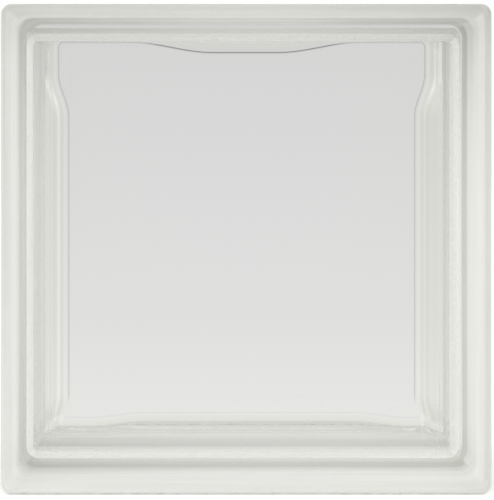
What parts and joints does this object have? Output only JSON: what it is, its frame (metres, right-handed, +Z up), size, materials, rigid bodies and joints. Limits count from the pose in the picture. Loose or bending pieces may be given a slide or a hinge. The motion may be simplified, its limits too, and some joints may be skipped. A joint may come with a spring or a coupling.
{
  "type": "glass block",
  "caption": "Clear hollow square glass block with plain smooth faces, rims at both faces and a mortar key round its sides.",
  "frame": {"origin": "middle of the footprint, level with the rims it stands on", "axes": "+Z up as the block stands on one side in a wall, +X along its width, +Y through its depth from the front face to the rear face"},
  "size_m": [0.19, 0.08, 0.19],
  "materials": {
    "glass": "clear pressed soda-lime glass, fire-polished"
  },
  "bodies": {
    "root": {"front_half": "glass", "rear_half": "glass"}
  },
  "joints": []
}
